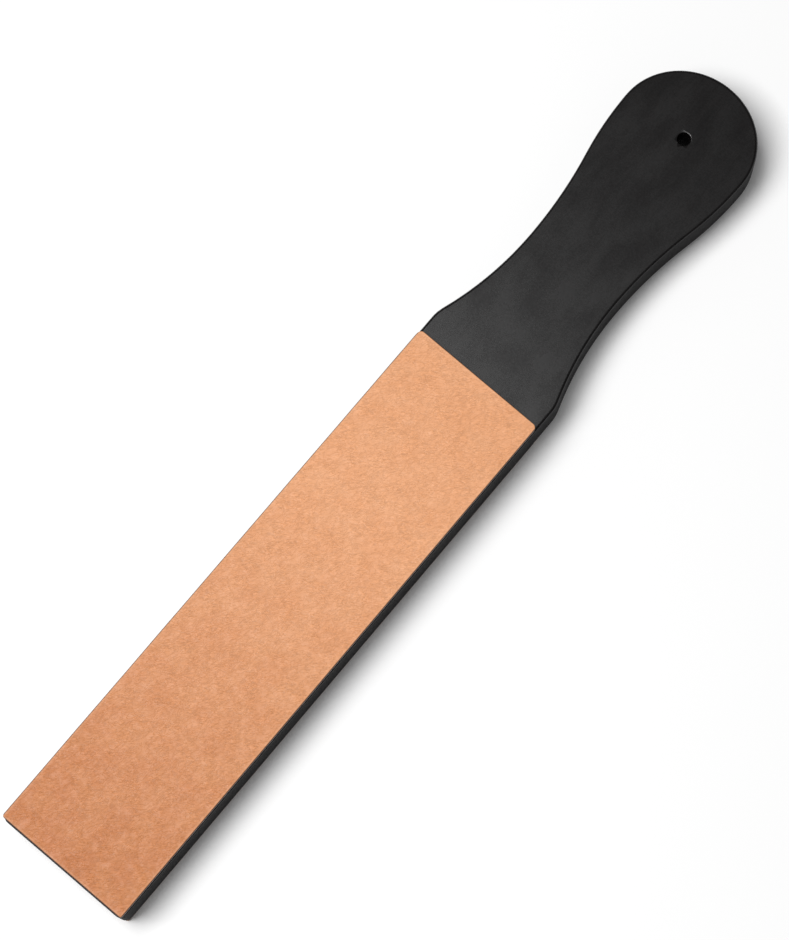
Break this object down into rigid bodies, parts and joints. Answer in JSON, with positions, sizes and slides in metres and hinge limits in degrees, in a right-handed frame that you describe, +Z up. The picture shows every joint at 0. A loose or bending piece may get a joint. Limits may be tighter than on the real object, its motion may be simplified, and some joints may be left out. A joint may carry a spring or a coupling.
{
  "type": "leather strop",
  "caption": "Paddle-shaped two-sided leather strop: a flat wooden board with a shaped handle and hang hole, and a leather face bonded to each side of the blade.",
  "frame": {"origin": "on the surface the strop lies on, under the middle of its bounding box", "axes": "+Y along the strop towards the handle's tip, +Z up through the front leather, +X across the width"},
  "size_m": [0.0506, 0.3346, 0.0206],
  "materials": {
    "board_paint": "black satin paint over wood",
    "front_leather": "smooth vegetable-tanned grain side",
    "rear_leather": "rough flesh side outwards",
    "glue": "dried contact cement"
  },
  "bodies": {
    "root": {"paddle_board": "board_paint", "front_leather": "front_leather", "rear_leather": "rear_leather", "front_glue_film": "glue", "rear_glue_film": "glue"}
  },
  "joints": []
}
